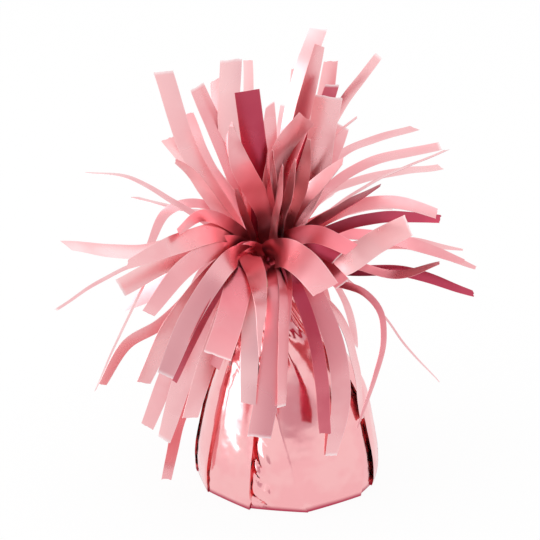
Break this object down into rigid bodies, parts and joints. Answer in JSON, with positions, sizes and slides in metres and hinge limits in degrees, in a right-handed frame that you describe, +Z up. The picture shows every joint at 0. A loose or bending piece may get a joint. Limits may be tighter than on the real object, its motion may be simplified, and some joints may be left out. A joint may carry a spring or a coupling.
{
  "type": "balloon weight",
  "caption": "Foil-fringe balloon weight: a filled cup wrapped in pleated metallised film, gathered at the neck and slit into strips that spray out, to hold helium balloons down.",
  "frame": {"origin": "centre of the flat underside of the wrapped base", "axes": "+Z up, front of the object towards -Y, +X to the right seen from the front"},
  "size_m": [0.1341, 0.1165, 0.1464],
  "materials": {
    "fringe_film": "metallised film, satin",
    "wrap_film": "metallised film, glossy",
    "cup_plastic": "moulded",
    "fill": "set sand and cement",
    "band_rubber": "matt"
  },
  "bodies": {
    "root": {"weight_cup": "cup_plastic", "base_plug": "cup_plastic", "sand_fill": "fill", "neck_band": "band_rubber", "outer_wrap": "wrap_film", "middle_wrap": "wrap_film", "inner_wrap": "wrap_film", "crown_strips_right": "fringe_film", "crown_strips_back": "fringe_film", "crown_strips_left": "fringe_film", "crown_strips_front": "fringe_film", "spread_strips_right": "fringe_film", "spread_strips_back": "fringe_film", "spread_strips_left": "fringe_film", "spread_strips_front": "fringe_film", "skirt_strips_right": "fringe_film", "skirt_strips_back": "fringe_film", "skirt_strips_left": "fringe_film", "skirt_strips_front": "fringe_film"}
  },
  "joints": []
}
